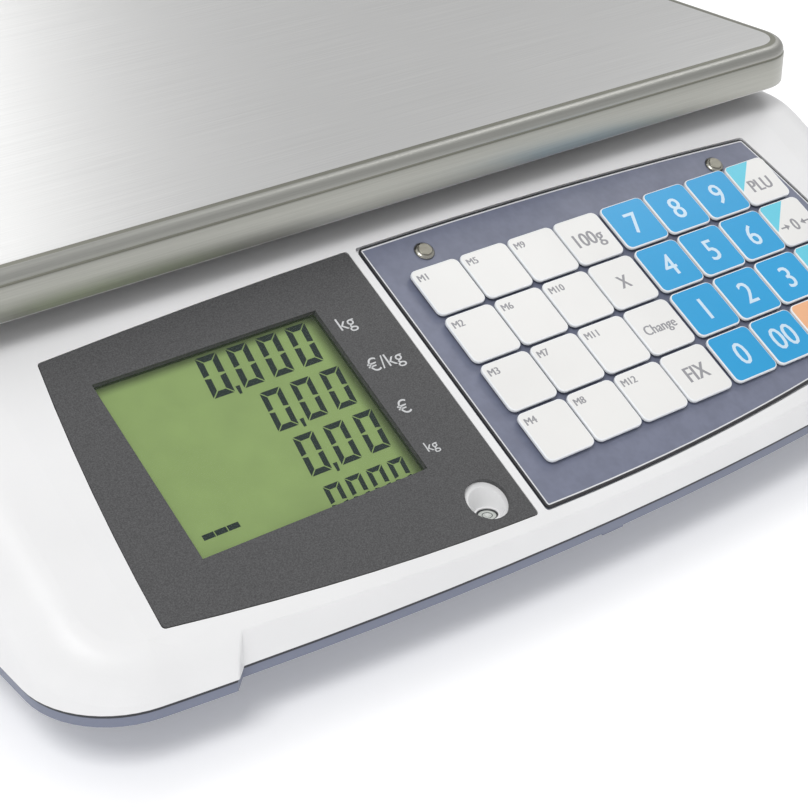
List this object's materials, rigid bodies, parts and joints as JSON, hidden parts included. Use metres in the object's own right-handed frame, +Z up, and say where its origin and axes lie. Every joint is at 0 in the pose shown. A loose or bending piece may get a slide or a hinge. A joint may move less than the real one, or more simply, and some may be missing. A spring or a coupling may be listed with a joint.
{
  "type": "retail price scale",
  "caption": "Counter-top price-computing scale: stainless pan over a white housing with a sloped display and keypad panel, on a blue-grey base with levelling feet.",
  "frame": {"origin": "on the table, under the centre of the scale's bounding box", "axes": "+X the operator's right, +Y from the operator to the customer, +Z up"},
  "size_m": [0.354, 0.35, 0.1056],
  "materials": {
    "stainless_pan": "brushed along X",
    "cast_aluminium": "cast and machined",
    "white_housing": "fine satin moulding",
    "blue_grey_base": "fine satin moulding",
    "dark_bezel": "speckled film",
    "clear_window": "clear",
    "dark_window": "smoked",
    "lcd_glass": "reflective liquid crystal display",
    "keypad_sheet": "printed sheet under a clear cover",
    "silicone": "soft silicone",
    "circuit_board": "solder mask",
    "steel_hardware": "plain",
    "battery_case": "moulded",
    "black_plastic": "moulded",
    "blue_key": "clear cap over a printed label",
    "orange_key": "clear cap over a printed label",
    "white_key": "clear cap over a printed label"
  },
  "bodies": {
    "chassis": {"base_housing": "blue_grey_base", "battery": "battery_case", "display_bezel": "dark_bezel", "display_window": "clear_window", "housing_screws": "steel_hardware", "keypad_board": "circuit_board", "keypad_mat": "silicone", "keypad_plate": "keypad_sheet", "keypad_screws": "steel_hardware", "lcd_module": "lcd_glass", "level_vial": "clear_window", "load_cell": "cast_aluminium", "load_cell_bolts": "steel_hardware", "main_board": "circuit_board", "overload_stops": "steel_hardware", "pan_bushes": "silicone", "pan_support": "cast_aluminium", "power_inlet": "black_plastic", "rear_lcd": "lcd_glass", "rear_window": "dark_window", "top_housing": "white_housing"},
    "pan": {"weighing_pan": "stainless_pan"},
    "battery_cover": {"battery_cover": "blue_grey_base"},
    "power_switch": {"power_switch": "black_plastic"},
    "foot_front_left": {"foot_front_left": "black_plastic"},
    "foot_front_right": {"foot_front_right": "black_plastic"},
    "foot_rear_left": {"foot_rear_left": "black_plastic"},
    "foot_rear_right": {"foot_rear_right": "black_plastic"},
    "key_memory_1": {"key_memory_1": "white_key"},
    "key_memory_5": {"key_memory_5": "white_key"},
    "key_memory_9": {"key_memory_9": "white_key"},
    "key_weight_100": {"key_weight_100": "white_key"},
    "key_digit_7": {"key_digit_7": "blue_key"},
    "key_digit_8": {"key_digit_8": "blue_key"},
    "key_digit_9": {"key_digit_9": "blue_key"},
    "key_price_lookup": {"key_price_lookup": "white_key"},
    "key_memory_2": {"key_memory_2": "white_key"},
    "key_memory_6": {"key_memory_6": "white_key"},
    "key_memory_10": {"key_memory_10": "white_key"},
    "key_multiply": {"key_multiply": "white_key"},
    "key_digit_4": {"key_digit_4": "blue_key"},
    "key_digit_5": {"key_digit_5": "blue_key"},
    "key_digit_6": {"key_digit_6": "blue_key"},
    "key_zero_set": {"key_zero_set": "white_key"},
    "key_memory_3": {"key_memory_3": "white_key"},
    "key_memory_7": {"key_memory_7": "white_key"},
    "key_memory_11": {"key_memory_11": "white_key"},
    "key_change": {"key_change": "white_key"},
    "key_digit_1": {"key_digit_1": "blue_key"},
    "key_digit_2": {"key_digit_2": "blue_key"},
    "key_digit_3": {"key_digit_3": "blue_key"},
    "key_tare": {"key_tare": "white_key"},
    "key_memory_4": {"key_memory_4": "white_key"},
    "key_memory_8": {"key_memory_8": "white_key"},
    "key_memory_12": {"key_memory_12": "white_key"},
    "key_fix": {"key_fix": "white_key"},
    "key_digit_0": {"key_digit_0": "blue_key"},
    "key_digit_00": {"key_digit_00": "blue_key"},
    "key_clear": {"key_clear": "orange_key"},
    "key_total": {"key_total": "white_key"}
  },
  "joints": [
    {"name": "pan_lift", "type": "slide", "parent": "chassis", "child": "pan", "axis": [0, 0, 1], "range_m": [0, 0.06]},
    {"name": "battery_cover_slide", "type": "slide", "parent": "chassis", "child": "battery_cover", "axis": [-1, 0, 0], "range_m": [0, 0.06]},
    {"name": "power_switch_rock", "type": "hinge", "parent": "chassis", "child": "power_switch", "pos_m": [-0.078, 0.1705, 0.042], "axis": [1, 0, 0], "range_deg": [-16, 0]},
    {"name": "foot_front_left_height", "type": "slide", "parent": "chassis", "child": "foot_front_left", "axis": [0, 0, -1], "range_m": [0, 0.005]},
    {"name": "foot_front_right_height", "type": "slide", "parent": "chassis", "child": "foot_front_right", "axis": [0, 0, -1], "range_m": [0, 0.005]},
    {"name": "foot_rear_left_height", "type": "slide", "parent": "chassis", "child": "foot_rear_left", "axis": [0, 0, -1], "range_m": [0, 0.005]},
    {"name": "foot_rear_right_height", "type": "slide", "parent": "chassis", "child": "foot_rear_right", "axis": [0, 0, -1], "range_m": [0, 0.005]},
    {"name": "key_memory_1_press", "type": "slide", "parent": "chassis", "child": "key_memory_1", "axis": [0, 0.4695, -0.8829], "range_m": [0, 0.0008], "stiffness_N_per_m": 900, "springref_m": -0.0003},
    {"name": "key_memory_5_press", "type": "slide", "parent": "chassis", "child": "key_memory_5", "axis": [0, 0.4695, -0.8829], "range_m": [0, 0.0008], "stiffness_N_per_m": 900, "springref_m": -0.0003},
    {"name": "key_memory_9_press", "type": "slide", "parent": "chassis", "child": "key_memory_9", "axis": [0, 0.4695, -0.8829], "range_m": [0, 0.0008], "stiffness_N_per_m": 900, "springref_m": -0.0003},
    {"name": "key_weight_100_press", "type": "slide", "parent": "chassis", "child": "key_weight_100", "axis": [0, 0.4695, -0.8829], "range_m": [0, 0.0008], "stiffness_N_per_m": 900, "springref_m": -0.0003},
    {"name": "key_digit_7_press", "type": "slide", "parent": "chassis", "child": "key_digit_7", "axis": [0, 0.4695, -0.8829], "range_m": [0, 0.0008], "stiffness_N_per_m": 900, "springref_m": -0.0003},
    {"name": "key_digit_8_press", "type": "slide", "parent": "chassis", "child": "key_digit_8", "axis": [0, 0.4695, -0.8829], "range_m": [0, 0.0008], "stiffness_N_per_m": 900, "springref_m": -0.0003},
    {"name": "key_digit_9_press", "type": "slide", "parent": "chassis", "child": "key_digit_9", "axis": [0, 0.4695, -0.8829], "range_m": [0, 0.0008], "stiffness_N_per_m": 900, "springref_m": -0.0003},
    {"name": "key_price_lookup_press", "type": "slide", "parent": "chassis", "child": "key_price_lookup", "axis": [0, 0.4695, -0.8829], "range_m": [0, 0.0008], "stiffness_N_per_m": 900, "springref_m": -0.0003},
    {"name": "key_memory_2_press", "type": "slide", "parent": "chassis", "child": "key_memory_2", "axis": [0, 0.4695, -0.8829], "range_m": [0, 0.0008], "stiffness_N_per_m": 900, "springref_m": -0.0003},
    {"name": "key_memory_6_press", "type": "slide", "parent": "chassis", "child": "key_memory_6", "axis": [0, 0.4695, -0.8829], "range_m": [0, 0.0008], "stiffness_N_per_m": 900, "springref_m": -0.0003},
    {"name": "key_memory_10_press", "type": "slide", "parent": "chassis", "child": "key_memory_10", "axis": [0, 0.4695, -0.8829], "range_m": [0, 0.0008], "stiffness_N_per_m": 900, "springref_m": -0.0003},
    {"name": "key_multiply_press", "type": "slide", "parent": "chassis", "child": "key_multiply", "axis": [0, 0.4695, -0.8829], "range_m": [0, 0.0008], "stiffness_N_per_m": 900, "springref_m": -0.0003},
    {"name": "key_digit_4_press", "type": "slide", "parent": "chassis", "child": "key_digit_4", "axis": [0, 0.4695, -0.8829], "range_m": [0, 0.0008], "stiffness_N_per_m": 900, "springref_m": -0.0003},
    {"name": "key_digit_5_press", "type": "slide", "parent": "chassis", "child": "key_digit_5", "axis": [0, 0.4695, -0.8829], "range_m": [0, 0.0008], "stiffness_N_per_m": 900, "springref_m": -0.0003},
    {"name": "key_digit_6_press", "type": "slide", "parent": "chassis", "child": "key_digit_6", "axis": [0, 0.4695, -0.8829], "range_m": [0, 0.0008], "stiffness_N_per_m": 900, "springref_m": -0.0003},
    {"name": "key_zero_set_press", "type": "slide", "parent": "chassis", "child": "key_zero_set", "axis": [0, 0.4695, -0.8829], "range_m": [0, 0.0008], "stiffness_N_per_m": 900, "springref_m": -0.0003},
    {"name": "key_memory_3_press", "type": "slide", "parent": "chassis", "child": "key_memory_3", "axis": [0, 0.4695, -0.8829], "range_m": [0, 0.0008], "stiffness_N_per_m": 900, "springref_m": -0.0003},
    {"name": "key_memory_7_press", "type": "slide", "parent": "chassis", "child": "key_memory_7", "axis": [0, 0.4695, -0.8829], "range_m": [0, 0.0008], "stiffness_N_per_m": 900, "springref_m": -0.0003},
    {"name": "key_memory_11_press", "type": "slide", "parent": "chassis", "child": "key_memory_11", "axis": [0, 0.4695, -0.8829], "range_m": [0, 0.0008], "stiffness_N_per_m": 900, "springref_m": -0.0003},
    {"name": "key_change_press", "type": "slide", "parent": "chassis", "child": "key_change", "axis": [0, 0.4695, -0.8829], "range_m": [0, 0.0008], "stiffness_N_per_m": 900, "springref_m": -0.0003},
    {"name": "key_digit_1_press", "type": "slide", "parent": "chassis", "child": "key_digit_1", "axis": [0, 0.4695, -0.8829], "range_m": [0, 0.0008], "stiffness_N_per_m": 900, "springref_m": -0.0003},
    {"name": "key_digit_2_press", "type": "slide", "parent": "chassis", "child": "key_digit_2", "axis": [0, 0.4695, -0.8829], "range_m": [0, 0.0008], "stiffness_N_per_m": 900, "springref_m": -0.0003},
    {"name": "key_digit_3_press", "type": "slide", "parent": "chassis", "child": "key_digit_3", "axis": [0, 0.4695, -0.8829], "range_m": [0, 0.0008], "stiffness_N_per_m": 900, "springref_m": -0.0003},
    {"name": "key_tare_press", "type": "slide", "parent": "chassis", "child": "key_tare", "axis": [0, 0.4695, -0.8829], "range_m": [0, 0.0008], "stiffness_N_per_m": 900, "springref_m": -0.0003},
    {"name": "key_memory_4_press", "type": "slide", "parent": "chassis", "child": "key_memory_4", "axis": [0, 0.4695, -0.8829], "range_m": [0, 0.0008], "stiffness_N_per_m": 900, "springref_m": -0.0003},
    {"name": "key_memory_8_press", "type": "slide", "parent": "chassis", "child": "key_memory_8", "axis": [0, 0.4695, -0.8829], "range_m": [0, 0.0008], "stiffness_N_per_m": 900, "springref_m": -0.0003},
    {"name": "key_memory_12_press", "type": "slide", "parent": "chassis", "child": "key_memory_12", "axis": [0, 0.4695, -0.8829], "range_m": [0, 0.0008], "stiffness_N_per_m": 900, "springref_m": -0.0003},
    {"name": "key_fix_press", "type": "slide", "parent": "chassis", "child": "key_fix", "axis": [0, 0.4695, -0.8829], "range_m": [0, 0.0008], "stiffness_N_per_m": 900, "springref_m": -0.0003},
    {"name": "key_digit_0_press", "type": "slide", "parent": "chassis", "child": "key_digit_0", "axis": [0, 0.4695, -0.8829], "range_m": [0, 0.0008], "stiffness_N_per_m": 900, "springref_m": -0.0003},
    {"name": "key_digit_00_press", "type": "slide", "parent": "chassis", "child": "key_digit_00", "axis": [0, 0.4695, -0.8829], "range_m": [0, 0.0008], "stiffness_N_per_m": 900, "springref_m": -0.0003},
    {"name": "key_clear_press", "type": "slide", "parent": "chassis", "child": "key_clear", "axis": [0, 0.4695, -0.8829], "range_m": [0, 0.0008], "stiffness_N_per_m": 900, "springref_m": -0.0003},
    {"name": "key_total_press", "type": "slide", "parent": "chassis", "child": "key_total", "axis": [0, 0.4695, -0.8829], "range_m": [0, 0.0008], "stiffness_N_per_m": 900, "springref_m": -0.0003}
  ]
}
